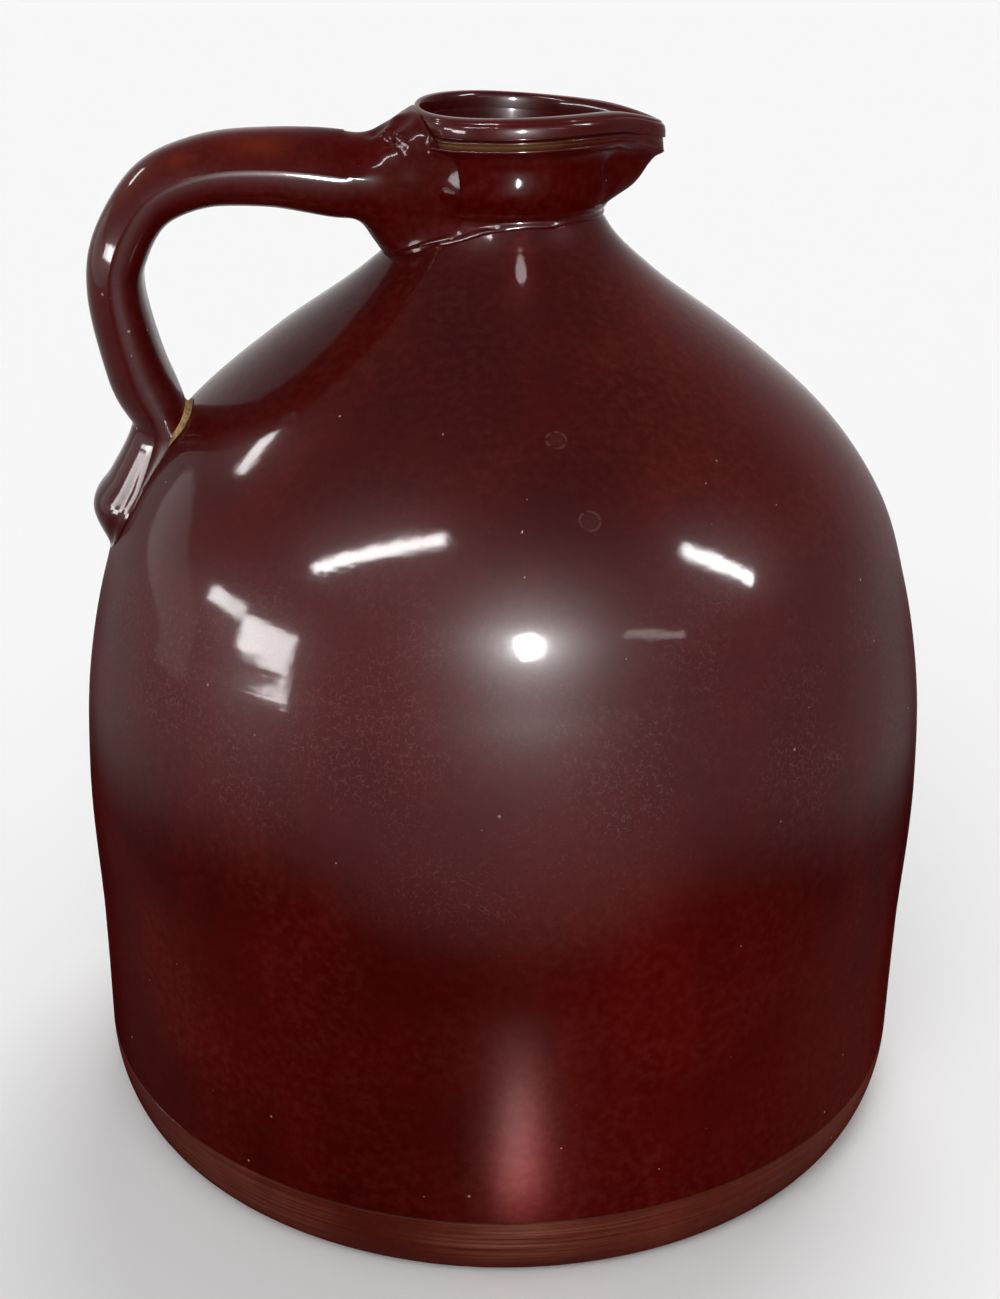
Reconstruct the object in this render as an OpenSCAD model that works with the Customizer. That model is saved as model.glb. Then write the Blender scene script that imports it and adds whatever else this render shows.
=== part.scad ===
// Stoneware crock jug, built as a potter builds it: pieces of clay that seat in one another
// and are luted together with slip. The origin is the centre of the flat underside, +Z is up,
// the handle is on the -X side and the pouring spout on the +X side.

/* [Body] */
// Largest outer radius of the body
body_r = 98; // [88:1:110]
// Height of the waist, where the shoulder has closed in to the neck
body_h = 208; // [190:1:226]
// Thickness of the thrown wall
wall = 8; // [6.5:0.5:9]
// Thickness of the floor
floor_t = 9; // [7:0.5:11]
// Radius of the fillet between the floor and the wall, inside
floor_fillet = 7; // [4:0.5:9]
// Height of the trimmed foot band
foot_h = 16.5; // [14:0.5:19]
// How far the foot band draws in towards the underside
foot_in = 7; // [4:0.5:9]
// Depth of the groove round the top of the foot band
groove = 0.4; // [0.2:0.1:0.8]
// Height of the joint between the lower wall and the shoulder
belly_z = 118; // [108:1:126]
// Height of the tongue on each seat of the body
joint_step = 4; // [3:0.5:6]

/* [Neck] */
// Radius of the throat
throat_r = 12.5; // [11:0.5:13.5]
// Thickness of the throat tube where it is let into the shoulder
neck_wall = 5; // [4:0.5:5.5]
// Depth to which the throat tube is let into the shoulder
seat_depth = 9; // [7:0.5:11]
// Height from the waist up to the underside of the collar
neck_rise = 3; // [2:0.5:4]
// Half height of the luting coil round the neck
coil_w = 1.8; // [1.2:0.1:2.2]
// How far the luting coil stands out
coil_t = 1.3; // [0.8:0.1:1.8]
// How far the luting coil dips on the handle's side
coil_dip = 9; // [6:0.5:10]

/* [Collar and rim] */
// Outer radius of the ridge near the top of the collar
collar_r = 25.1; // [24:0.1:27]
// Height of the collar under the rolled rim
collar_h = 15.6; // [14:0.2:18]
// Thickness of the collar's wall at its top
collar_wall = 6; // [5:0.5:7]
// Radius of the rolled rim's section
roll_t = 3.2; // [2.8:0.1:3.6]
// Height of the roll's centre above its seat
roll_up = 0.5; // [0.3:0.1:0.9]
// How far the rim leans off the body's axis, towards the spout
rim_lean = 1.1; // [0:0.1:1.5]
// How far the spout is pulled out
spout_reach = 6.8; // [4:0.2:8]
// How far the spout's lip is drawn down
spout_drop = 3.3; // [1.5:0.1:4]
// Height by which the rim rises and falls, as it warped in the kiln
rim_warp = 0.5; // [0:0.1:0.6]

/* [Handle] */
// Width of the strap, from edge to edge
strap_w = 24; // [20:0.5:27]
// Thickness of the strap where it leaves the collar
strap_t = 17.4; // [15:0.2:18]
// Height of the strap's upper run below the top of the rim
strap_drop = 12.5; // [11.5:0.1:13]
// Length of the wad that joins the strap to the collar
root_len = 10.6; // [9:0.2:13]
// Width of the wad where it lies on the collar
root_w = 30; // [27:0.5:31]
// How far the wad runs down the shoulder below the neck's seat
root_down = 4.2; // [2.5:0.1:5]
// How far the wad stays below the top of the rim
root_under = 0.8; // [0.4:0.1:1.2]
// How far the wad stands off the collar where it flares out, at its top and sides
root_lift = 1; // [0.5:0.1:1.2]
// How far its underside stands off the neck, where it sweeps down to the shoulder
root_sweep = 7.5; // [5:0.5:9]
// How far below the top of the body the strap ends on the shoulder
strap_fall = 47; // [43:0.5:52]
// How far the strap bows out past its lower end
strap_bow = 7; // [4:0.5:10]
// How deep the shoulder cuts into the strap at its lower end
strap_bed = 4.8; // [4:0.2:5.6]
// Length of the thumbed terminal, down the shoulder
pad_len = 25.5; // [20:0.5:30]
// Width of the thumbed terminal
pad_w = 32; // [28:0.5:36]
// How far the terminal stands off the shoulder at its top
pad_t = 8.6; // [7:0.2:10]
// Width of the bare clay at the top of the crack between the handle and the shoulder
crack_w = 2.7; // [2:0.1:3.2]

/* [Hidden] */
$fn = 96;

// Thickness of the slip left in a joint between two pieces of clay
slip_gap = 0.15;
// Thickness of the slip under a piece that is laid on the neck's tightly curved surface
bed_gap = 0.35;
// Overrun of a cut past the face that it leaves by
overrun = 1;
// Directions, in degrees about the body's axis: the handle is turned a little to the front
handle_az = 187;
spout_az = 4;

// The body's outer outline above the foot band: shares of body_h and of body_r
body_shares = [[0.08, 0.993], [0.22, 0.993], [0.40, 1.0], [0.52, 0.98], [0.62, 0.934],
               [0.71, 0.865], [0.79, 0.738], [0.87, 0.537], [0.94, 0.328], [0.98, 0.234],
               [1.0, 0.204]];
// Height of the neck's seat on the shoulder, as a share of body_h
seat_share = 0.98;
// The collar's outer outline: shares of collar_r and of collar_h
collar_shares = [[0.849, 0], [0.9, 0.115], [0.924, 0.23], [0.92, 0.35], [0.9, 0.487],
                 [0.9, 0.6], [0.932, 0.73], [0.98, 0.805], [1, 0.84], [0.984, 0.872],
                 [0.966, 0.904], [0.984, 0.94], [0.966, 0.974], [0.972, 1]];
// The funnel inside the collar: shares of its widening and of collar_h
funnel_shares = [[1, 1], [0.95, 0.7], [0.75, 0.45], [0.35, 0.2], [0, 0]];
// The strap's centreline: shares of its run outwards and of its rise, and then the share of
// strap_t that it is thick there
strap_shares = [[0, 0.975, 1], [0.31, 1.004, 0.935], [0.6, 0.991, 0.84], [0.828, 0.905, 0.765],
                [0.972, 0.722, 0.72], [1.006, 0.537, 0.71], [0.938, 0.246, 0.78],
                [0.858, 0.08, 0.71], [0.852, 0, 0.77]];
// The thumbed terminal: shares of pad_len down, of pad_t out and of pad_w across
pad_shares = [[0, 1, 0.77], [0.18, 0.83, 0.84], [0.37, 0.78, 0.93], [0.53, 0.85, 1],
              [0.65, 0.75, 0.98], [0.78, 0.47, 0.88], [0.90, 0.17, 0.66], [1, 0.03, 0.3]];
// How much of its height and width is left in each ring of a face that is closed on clay
inner_shares = [0.94, 0.86, 0.7, 0.54, 0.38, 0.22, 0.08];
// Where the root's flare starts at its sides, below and above, as shares of its footprint, and
// how much of its length it leaves the strap straight for
flare_shares = [0.85, 0.8, 0.55];
ease_share = 0.45;
// The root's bed above the last point of the collar's outline that it follows: shares of
// collar_h and of collar_r
last_followed = 4;
bed_shares = [[0.6, 0.93], [0.78, 1]];
// Place of the strap's side ridge above its centre, as a share of its thickness
ridge_share = 0.05;
// Fullness of the strap's outer face, and of the squarer inner face
arch_share = 2.2;
square_share = 3;
// Fullness of the root's footprint on the collar
print_share = 2.5;
// Sharpness of the spout, and its half width in degrees
spout_sharp_share = 1.6;
spout_spread = 18;
// Share of the collar's height over which the spout grows to its full reach
spout_grow_share = 0.85;
// Share of the spout's drop that is lost between the ridge and the top of the rim
spout_lift_share = 0.2;
// Half width in degrees of the coil's dip on the handle's side, and of the gap for the root
dip_spread = 50;
coil_gap = 35;
// Share of its thickness that the coil keeps at its two ends
coil_end_share = 0.35;

// Numbers of steps: up the body, round the neck, round the strap and along it
body_steps = 14;
neck_steps = 72;
ring_steps = 48;
strap_steps = 24;
path_steps = 4;
roll_steps = 14;
coil_steps = 5;
taper_steps = 10;
root_steps = 6;
bisect_steps = 12;
// Knots of the strap that are searched for the crack, and the step that gives its direction
crack_span = 2.5;
look_back = 0.05;

seat_z = body_h * seat_share;
collar_z = body_h + neck_rise;
rim_z = collar_z + collar_h;
roll_r = collar_r - roll_t + slip_gap;
roll_z = rim_z + roll_up;
crown_z = roll_z + roll_t;
neck_in_r = throat_r + neck_wall;
strap_top = crown_z - strap_drop;
root_r = collar_r + root_len;
strap_low = body_h - strap_fall;

// A cubic through two knots a and b, with slopes ma and mb, at height z
function cubic(a, b, ma, mb, z) =
    let (h = b.x - a.x, t = (z - a.x) / h)
    (2 * t * t * t - 3 * t * t + 1) * a.y + (t * t * t - 2 * t * t + t) * h * ma
    + (3 * t * t - 2 * t * t * t) * b.y + (t * t * t - t * t) * h * mb;
function cubic_slope(a, b, ma, mb, z) =
    let (h = b.x - a.x, t = (z - a.x) / h)
    (6 * t * t - 6 * t) * (a.y - b.y) / h + (3 * t * t - 4 * t + 1) * ma
    + (3 * t * t - 2 * t) * mb;
function knot(i) = [body_shares[i].x * body_h, body_shares[i].y * body_r];
function chord(i) = (knot(i + 1).y - knot(i).y) / (knot(i + 1).x - knot(i).x);
function gap_at(i) = knot(i + 1).x - knot(i).x;
last_knot = len(body_shares) - 1;
function slope(i) = i == 0 ? chord(0) / 2
    : i == last_knot ? chord(i - 1)
    : (chord(i - 1) * gap_at(i) + chord(i) * gap_at(i - 1)) / (gap_at(i) + gap_at(i - 1));
function span_of(z) = max([for (j = [0 : last_knot - 1]) if (j == 0 || z >= knot(j).x) j]);
// Outer radius of the body at height z above the foot band, and how it changes with z
function body_at(z) =
    let (i = span_of(z)) cubic(knot(i), knot(i + 1), slope(i), slope(i + 1), z);
function body_slope(z) =
    let (i = span_of(z)) cubic_slope(knot(i), knot(i + 1), slope(i), slope(i + 1), z);
// Inner radius of the body, one wall thickness in from the outer surface
function inside_at(z) = body_at(z) - wall * sqrt(1 + body_slope(z) * body_slope(z));
// Outer radius of the foot band at height z: a quarter of an ellipse
function foot_at(z) =
    let (u = (foot_h - z) / foot_h) body_at(foot_h) - foot_in * (1 - sqrt(1 - u * u));
// Heights from a to b, in steps of one body's share
function heights(a, b) = [for (k = [0 : body_steps]) a + (b - a) * k / body_steps];
function clamp(v, low, high) = min(max(v, low), high);

// Tongue and shelf of the joint at height z: the lower piece carries the tongue, on the
// inner half of the wall, and the upper piece sits on it and on the shelf outside it
function joint_r(z) = body_at(z) - wall / 2;
function tongue(z) = [[joint_r(z) - slip_gap, z], [joint_r(z) - slip_gap, z + joint_step],
                      [inside_at(z + joint_step), z + joint_step]];
function socket(z) = [[inside_at(z + joint_step), z + joint_step],
                      [joint_r(z), z + joint_step], [joint_r(z), z]];

module foot_base() {
    foot_r = body_at(foot_h);
    fillet_r = inside_at(foot_h) - floor_fillet;
    outside = [for (k = [0 : body_steps])
        let (z = (foot_h - groove) * (1 - cos(90 * k / body_steps))) [foot_at(z), z]];
    fillet = [for (k = [0 : body_steps])
        let (a = 90 * k / body_steps)
        [fillet_r + floor_fillet * cos(a), floor_t + floor_fillet * (1 - sin(a))]];
    color("#5a2620")
    rotate_extrude()
    polygon(concat([[0, 0]], outside, [[foot_r - groove, foot_h]], tongue(foot_h), fillet,
                   [[0, floor_t]]));
}

module lower_wall() {
    foot_r = body_at(foot_h);
    outside = [for (z = heights(foot_h + groove, belly_z)) [body_at(z), z]];
    inside = [for (z = heights(belly_z + joint_step, foot_h + joint_step)) [inside_at(z), z]];
    color("#3c0a0c")
    rotate_extrude()
    polygon(concat([[foot_r - groove, foot_h]], outside, tongue(belly_z),
                   inside, socket(foot_h)));
}

module shoulder_dome() {
    under_z = seat_z - seat_depth;
    outside = [for (z = heights(belly_z, seat_z)) [body_at(z), z]];
    inside = [for (z = heights(under_z, belly_z + joint_step))
        [max(inside_at(z), throat_r), z]];
    color("#42100f")
    difference() {
        rotate_extrude()
        polygon(concat(outside, [[throat_r, seat_z], [throat_r, under_z]], inside,
                       socket(belly_z)));
        translate([0, 0, under_z - overrun])
        cylinder(r = neck_in_r + slip_gap, h = seat_depth + 2 * overrun);
    }
}

// The throat tube, let into the shoulder, with a flange that sits on it
module neck_ring() {
    outside = [for (z = heights(seat_z, body_h)) [body_at(z), z]];
    color("#38090b")
    rotate_extrude()
    polygon(concat([[throat_r, seat_z - seat_depth], [neck_in_r, seat_z - seat_depth],
                    [neck_in_r, seat_z]], outside,
                   [[collar_shares[0].x * collar_r, collar_z], [throat_r, collar_z]]));
}

// A closed solid through rings of points, with a fan over each end
module skin(rings) {
    n = len(rings[0]);
    m = len(rings);
    middle = [for (r = [rings[0], rings[m - 1]]) [for (p = r) 1] * r / n];
    polyhedron(points = concat([for (r = rings) each r], middle),
               faces = concat(
        [for (i = [0 : m - 2], j = [0 : n - 1])
            let (k = (j + 1) % n) each [[i * n + j, i * n + k, (i + 1) * n + k],
                                        [i * n + j, (i + 1) * n + k, (i + 1) * n + j]]],
        [for (j = [0 : n - 1]) [m * n, (j + 1) % n, j]],
        [for (j = [0 : n - 1]) [m * n + 1, (m - 1) * n + j, (m - 1) * n + (j + 1) % n]]));
}

// A closed band round the neck through rings of points, the last joined to the first
module band(rings) {
    n = len(rings[0]);
    m = len(rings);
    polyhedron(points = [for (r = rings) each r],
               faces = [for (i = [0 : m - 1], j = [0 : n - 1])
                   let (k = (j + 1) % n, next = (i + 1) % m)
                   each [[i * n + j, i * n + k, next * n + k],
                         [i * n + j, next * n + k, next * n + j]]]);
}

function turned(az) = let (a = az % 360) a > 180 ? a - 360 : a < -180 ? a + 360 : a;
// How much of the spout's pull reaches the direction az
function pull(az) = exp(-pow(abs(turned(az - spout_az)) / spout_spread, spout_sharp_share));
// How much of it reaches the height z
function grown(z) = clamp((z - collar_z) / (collar_h * spout_grow_share), 0, 1);
function drawn(z) = let (ridge_z = collar_z + collar_h * spout_grow_share)
    1 - spout_lift_share * clamp((z - ridge_z) / (crown_z - ridge_z), 0, 1);
// A point of the collar or the rim, of radius r and height z before it is pulled into shape
function pulled(r, z, az) =
    let (out = r + spout_reach * sin(90 * grown(z)) * pull(az))
    [rim_lean * grown(z) + out * cos(az), out * sin(az),
     z - spout_drop * grown(z) * drawn(z) * pull(az) - rim_warp * grown(z) * sin(2 * az)];
neck_angles = [for (k = [0 : neck_steps - 1]) 360 * k / neck_steps];

module collar() {
    mouth_r = collar_r - collar_wall;
    outline = concat([for (s = collar_shares) [s.x * collar_r, collar_z + s.y * collar_h]],
                     [for (s = funnel_shares)
                         [throat_r + s.x * (mouth_r - throat_r), collar_z + s.y * collar_h]]);
    color("#3a0a0b")
    band([for (az = neck_angles) [for (p = outline) pulled(p.x, p.y, az)]]);
}

module rim_roll() {
    low = -asin((roll_up - slip_gap) / roll_t);
    outline = [for (k = [0 : roll_steps])
        let (a = low + (180 - 2 * low) * k / roll_steps)
        [roll_r + roll_t * cos(a), roll_z + roll_t * sin(a)]];
    color("#420d0c")
    band([for (az = neck_angles) [for (p = outline) pulled(p.x, p.y, az)]]);
}

// Radius of what lies at height z, on the shoulder, the neck or the collar
function skin_at(z) =
    z < body_h ? body_at(z)
    : lookup(z, [for (s = concat([[body_shares[last_knot].y * body_r / collar_r,
                                   -neck_rise / collar_h]], collar_shares))
                 [collar_z + s.y * collar_h, s.x * collar_r]]);
function on_neck(r, z, az) = [rim_lean * grown(z) + r * cos(az), r * sin(az), z];
function near_handle(az) = let (d = turned(az - handle_az) / dip_spread) exp(-d * d);

module neck_coil() {
    last = ring_steps - 1;
    rings = [for (k = [0 : last])
        let (az = handle_az + coil_gap + (360 - 2 * coil_gap) * k / last,
             near = near_handle(az),
             half = coil_w * (1 + near / 2),
             mid = body_h + coil_t - coil_dip * near,
             full = sin(90 * min(1, min(k, last - k) / taper_steps)),
             tall = coil_t * (coil_end_share + (1 - coil_end_share) * full))
        [for (j = [0 : 2 * coil_steps - 1])
            let (a = 180 * j / coil_steps, z = mid + half * cos(a))
            on_neck(skin_at(z) + bed_gap + tall * max(sin(a), 0), z, az)]];
    color("#4a1714")
    skin(rings);
}

// Directions of the handle's own plane: outwards from the axis and across it
out_dir = [cos(handle_az), sin(handle_az), 0];
across_dir = [-sin(handle_az), cos(handle_az), 0];
function in_plane(out, across, z) = out * out_dir + across * across_dir + [0, 0, z];

// The strap's centreline: knots in real sizes, and a smooth curve through them
last_strap = len(strap_shares) - 1;
strap_end = body_at(strap_low) + strap_t * strap_shares[last_strap].z / 2 - strap_bed;
strap_out = strap_end + strap_bow;
function strap_knot(i) =
    let (s = strap_shares[clamp(i, 0, last_strap)])
    [root_r + s.x * (strap_out - root_r), strap_low + s.y * (strap_top - strap_low),
     s.z * strap_t];
function between(a, b, c, d, t) =
    (2 * b + (c - a) * t + (2 * a - 5 * b + 4 * c - d) * t * t
     + (3 * b - a - 3 * c + d) * t * t * t) / 2;
function strap_point(u) =
    let (i = min(floor(u), last_strap - 1))
    between(strap_knot(i - 1), strap_knot(i), strap_knot(i + 1), strap_knot(i + 2), u - i);
function sign_of(v) = v < 0 ? -1 : 1;
// One point of the strap's section, at angle a: across, and out from the centreline
function strap_section(a, w, t) =
    let (c = cos(a), s = sin(a), ridge = ridge_share * t)
    s >= 0 ? [w / 2 * c, ridge + (t / 2 - ridge) * (1 - pow(abs(c), arch_share))]
    : [w / 2 * sign_of(c) * pow(abs(c), 2 / square_share),
       ridge - (t / 2 + ridge) * pow(-s, 2 / square_share)];
strap_angles = [for (k = [0 : strap_steps - 1]) 360 * k / strap_steps];
// A point that lies in the shoulder is pushed out to its surface
function clear_of_body(p) =
    let (r = norm([p.x, p.y]), need = body_at(p.z) + slip_gap)
    r >= need ? p : [p.x * need / r, p.y * need / r, p.z];
function strap_ring(u) =
    let (p = strap_point(u),
         d = strap_point(min(u + look_back, last_strap))
             - strap_point(max(u - look_back, 0)),
         way = u == 0 ? [1, 0] : u == last_strap ? [0, -1]
             : [d.x, d.y] / norm([d.x, d.y]))
    [for (a = strap_angles)
        let (q = strap_section(a, strap_w, p.z))
        clear_of_body(in_plane(p.x - way.y * q.y, q.x, p.y + way.x * q.y))];

module handle_strap() {
    color("#4e130f")
    skin([for (k = [0 : last_strap * path_steps]) strap_ring(k / path_steps)]);
}

// What the root lies on: the shoulder, the neck, the collar up to its ridge, and the roll
function bed_at(z) =
    z < body_h ? skin_at(z)
    : z > roll_z ? roll_r + sqrt(max(roll_t * roll_t - (z - roll_z) * (z - roll_z), 0))
    : lookup(z, concat([[body_h, body_at(body_h)]],
                       [for (k = [0 : last_followed])
                           [collar_z + collar_shares[k].y * collar_h,
                            collar_shares[k].x * collar_r]],
                       [for (s = bed_shares)
                           [collar_z + s.x * collar_h, s.y * collar_r]],
                       [[roll_z, roll_r + roll_t]]));
root_low = seat_z - root_down;
root_high = crown_z - root_under;
// A point of the root's footprint, drawn in to a share of its size
function print_at(a, share) =
    let (c = cos(a), s = sin(a),
         across = share * root_w / 2 * sign_of(c) * pow(abs(c), 2 / print_share),
         rise = s >= 0 ? root_high - strap_top : strap_top - root_low,
         z = strap_top + share * rise * sign_of(s) * pow(abs(s), 2 / print_share),
         az = handle_az + asin(across / (collar_r + bed_gap)))
    on_neck(bed_at(z) + bed_gap, z, az);
function bezier(p, q, r, s, t) =
    p * (1 - t) * (1 - t) * (1 - t) + q * 3 * t * (1 - t) * (1 - t)
    + r * 3 * t * t * (1 - t) + s * t * t * t;

// Where the flare starts at angle a, and how far it stands off there
function flare_at(a) =
    let (s = sin(a))
    flare_shares[0] + (flare_shares[s < 0 ? 1 : 2] - flare_shares[0]) * s * s;
function lift_at(a) =
    let (s = min(sin(a), 0))
    root_lift + (root_sweep - root_lift) * s * s;

module handle_root() {
    start = strap_ring(0);
    sweep = [for (k = [0 : root_steps])
        [for (j = [0 : strap_steps - 1])
            let (a = strap_angles[j], p = start[j], s = print_at(a, 1),
                 q = p - out_dir * root_len * ease_share,
                 r = print_at(a, flare_at(a)) + out_dir * lift_at(a))
            bezier(p, q, r, s, k / root_steps)]];
    color("#421010")
    skin(concat(sweep, [for (share = inner_shares) [for (a = strap_angles) print_at(a, share)]]));
}

// A level slice of the thumbed terminal, lying on the shoulder
function pad_ring(s) =
    let (z = strap_low - s.x * pad_len, r = body_at(z) + slip_gap)
    [for (a = strap_angles)
        let (c = cos(a), w = s.z * pad_w / 2,
             across = w * (sin(a) >= 0 ? c : sign_of(c) * pow(abs(c), 2 / square_share)),
             high = sin(a) >= 0 ? s.y * pad_t * (1 - pow(abs(c), arch_share)) : 0,
             az = handle_az + asin(across / r))
        [(r + high) * cos(az), (r + high) * sin(az), z]];

module handle_foot() {
    last = len(pad_shares) - 1;
    color("#451211")
    skin(concat([strap_ring(last_strap)],
                [for (k = [1 : last]) pad_ring(pad_shares[k])]));
}

// A point of the strap's inner face before the shoulder trims it, and its clearance
function face_point(u, a) =
    let (p = strap_point(u), d = p - strap_point(u - look_back),
         way = [d.x, d.y] / norm([d.x, d.y]), q = strap_section(a, strap_w, p.z))
    in_plane(p.x - way.y * q.y, q.x, p.y + way.x * q.y);
function face_clear(u, a) = let (p = face_point(u, a)) norm([p.x, p.y]) - body_at(p.z);
// Where along the strap its inner face stands the width w off the shoulder
function crack_at(a, w, low, high, n) =
    let (u = (low + high) / 2)
    n == 0 ? u
    : face_clear(u, a) > w ? crack_at(a, w, u, high, n - 1) : crack_at(a, w, low, u, n - 1);
function at_radius(p, r) = [p.x * r / norm([p.x, p.y]), p.y * r / norm([p.x, p.y]), p.z];

// Bare clay in the crack between the strap's inner face and the shoulder
module crotch_fillet() {
    gap = 2 * slip_gap;
    slices = [for (k = [1 : strap_steps / 2 - 1])
        let (a = 180 + 360 * k / strap_steps,
             low = face_point(crack_at(a, 2 * gap, last_strap - crack_span, last_strap, bisect_steps), a),
             high = face_point(crack_at(a, crack_w, last_strap - crack_span, last_strap, bisect_steps), a))
        [at_radius(low, body_at(low.z) + slip_gap),
         at_radius(high, body_at(high.z) + slip_gap),
         at_radius(high, norm([high.x, high.y]) - gap),
         at_radius(low, norm([low.x, low.y]) - gap)]];
    color("#a5825a")
    skin(slices);
}

foot_base();
lower_wall();
shoulder_dome();
neck_ring();
neck_coil();
collar();
rim_roll();
handle_root();
handle_strap();
handle_foot();
crotch_fillet();
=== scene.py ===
# %% [markdown]
# # A stoneware jug: thrown, luted together and glazed
#
# The real jug is a pot of brown stoneware under a glossy oxblood-brown glaze. A potter threw the
# body, set a neck and a rolled rim on it, pinched a small lip, and pulled a strap handle from the
# collar to the shoulder. The solids of the frame give every size. Here each piece gets its
# finished surface, worked out as a formula on a grid, and the whole jug gets its glaze.

import math

import bpy
import numpy as np
from mathutils import Matrix, Vector


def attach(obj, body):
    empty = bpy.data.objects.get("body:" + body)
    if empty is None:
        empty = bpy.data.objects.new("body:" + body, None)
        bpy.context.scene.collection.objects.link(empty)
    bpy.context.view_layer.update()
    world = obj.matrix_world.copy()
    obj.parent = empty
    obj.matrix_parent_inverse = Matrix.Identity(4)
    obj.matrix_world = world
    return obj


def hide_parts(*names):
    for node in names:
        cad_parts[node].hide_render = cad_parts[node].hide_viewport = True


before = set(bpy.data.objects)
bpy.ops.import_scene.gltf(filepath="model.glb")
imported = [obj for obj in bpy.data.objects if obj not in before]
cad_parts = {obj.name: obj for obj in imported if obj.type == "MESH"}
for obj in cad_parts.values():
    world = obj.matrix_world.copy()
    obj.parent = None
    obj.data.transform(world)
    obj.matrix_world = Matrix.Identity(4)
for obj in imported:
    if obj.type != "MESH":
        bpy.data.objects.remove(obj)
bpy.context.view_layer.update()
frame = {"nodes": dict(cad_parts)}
print("pieces in the frame:", ", ".join(frame["nodes"]))

# %% [markdown]
# A piece of clay is drawn as a row of rings, as a potter would measure it with callipers. Each
# ring closes on itself, and each point is joined to its neighbours by a four-sided face. A tube
# that meets itself, such as the rolled rim, joins its last ring to its first; any other piece is
# closed by a fan of triangles at each end. This gives closed skins whose faces can be turned
# outwards by the sign of the volume.

# %% Turn rings of points into a finished piece
MM = 0.001


def piece_from_rings(name, rings, node, closed=False, sharp=38, marks=None):
    """Joins point j of ring i to its neighbours j + 1 and i + 1. rings is (ring, point, xyz) in mm.

    marks holds one number for each point, which the glaze reads as the attribute "thin".
    """
    count, around, _ = rings.shape
    i = np.arange(count if closed else count - 1)[:, None]
    j = np.arange(around)[None, :]
    below, above, beside = i * around, (i + 1) % count * around, (j + 1) % around
    quads = np.stack(np.broadcast_arrays(below + j, below + beside, above + beside, above + j), -1)
    quads = quads.reshape(-1, 4)
    points = rings.reshape(-1, 3)
    thin = np.zeros(len(points)) if marks is None else np.broadcast_to(marks, rings.shape[:2]).ravel()
    fans = np.zeros((0, 3), int)
    if not closed:
        middles = len(points)
        last = (count - 1) * around
        k, turn = np.arange(around), (np.arange(around) + 1) % around
        fans = np.concatenate([np.stack([middles + 0 * k, turn, k], 1),
                               np.stack([middles + 1 + 0 * k, last + k, last + turn], 1)])
        points = np.concatenate([points, rings[[0, -1]].mean(axis=1)])
        thin = np.concatenate([thin, thin[[0, last]]])
    corners = np.concatenate([quads[:, [0, 1, 2]], quads[:, [0, 2, 3]], fans])
    a, b, c = (points[corners[:, n]] for n in range(3))
    if np.einsum("ij,ij->i", a, np.cross(b, c)).sum() < 0:
        quads, fans = quads[:, ::-1], fans[:, ::-1]
    mesh = bpy.data.meshes.new(name)
    mesh.from_pydata((points * MM).tolist(), [], quads.tolist() + fans.tolist())
    mesh.polygons.foreach_set("use_smooth", np.ones(len(mesh.polygons), bool))
    mesh.set_sharp_from_angle(angle=math.radians(sharp))
    mesh.attributes.new("thin", "FLOAT", "POINT").data.foreach_set("value", thin.astype(np.float32))
    made = bpy.data.objects.new(name, mesh)
    bpy.context.collection.objects.link(made)
    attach(made, "root")
    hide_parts(node)
    print(f"{name}: {len(quads) * 2 + len(fans)} triangles")
    return made


# %% [markdown]
# The body is round, but not perfect: a pot that was thrown fast and fired hot is a little
# uneven, and its long reflections show it. The outline is a smooth curve through a few
# measured radii, and a slow wave of a third of a millimetre is cut into it, never added, so the
# jug keeps its size.

# %% The body's outline and its unevenness
BODY_R, BODY_H = 98.0, 208.0
FOOT_H, FOOT_IN, GROOVE = 16.5, 7.0, 0.4
BELLY_Z, JOINT, WALL = 118.0, 4.0, 8.0
SEAT_Z, NECK_RISE = 0.98 * BODY_H, 3.0
THROAT_R, NECK_IN_R, SEAT_DEPTH = 12.5, 17.5, 9.0
FLOOR_T, FLOOR_FILLET = 9.0, 7.0
COLLAR_Z = BODY_H + NECK_RISE

body_knots = np.array([[0.08, 0.993], [0.22, 0.993], [0.40, 1.0], [0.52, 0.98], [0.62, 0.934],
                       [0.71, 0.865], [0.79, 0.738], [0.87, 0.537], [0.94, 0.328], [0.98, 0.234],
                       [1.0, 0.204]]) * [BODY_H, BODY_R]
knot_gaps = np.diff(body_knots[:, 0])
knot_chords = np.diff(body_knots[:, 1]) / knot_gaps
inner_slopes = (knot_chords[:-1] * knot_gaps[1:] + knot_chords[1:] * knot_gaps[:-1]) \
    / (knot_gaps[1:] + knot_gaps[:-1])
knot_slopes = np.concatenate([[knot_chords[0] / 2], inner_slopes, [knot_chords[-1]]])


def body_radius(z):
    """A cubic between each two knots, with their slopes."""
    z = np.clip(z, FOOT_H, BODY_H)
    k = np.clip(np.searchsorted(body_knots[:, 0], z, side="right") - 1, 0, len(knot_gaps) - 1)
    h, t = knot_gaps[k], (z - body_knots[k, 0]) / knot_gaps[k]
    rise = 3 * t ** 2 - 2 * t ** 3
    return ((1 - rise) * body_knots[k, 1] + rise * body_knots[k + 1, 1]
            + (t ** 3 - 2 * t ** 2 + t) * h * knot_slopes[k] + (t ** 3 - t ** 2) * h * knot_slopes[k + 1])


def uneven(angle, z):
    """A slow wave of two and three lobes that turns as it climbs, fading out at the neck."""
    wave = 0.16 * np.sin(2 * angle + z / 47 + 0.5) + 0.08 * np.sin(3 * angle - z / 31 + 2.0)
    return (wave - 0.24) * np.clip((BODY_H - z) / 40, 0, 1) * np.clip(z / 30, 0, 1)


def smooth_step(x, low, high):
    """0 below low, 1 above high, and an S between them."""
    t = np.clip((x - low) / (high - low), 0, 1)
    return t * t * (3 - 2 * t)


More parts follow.
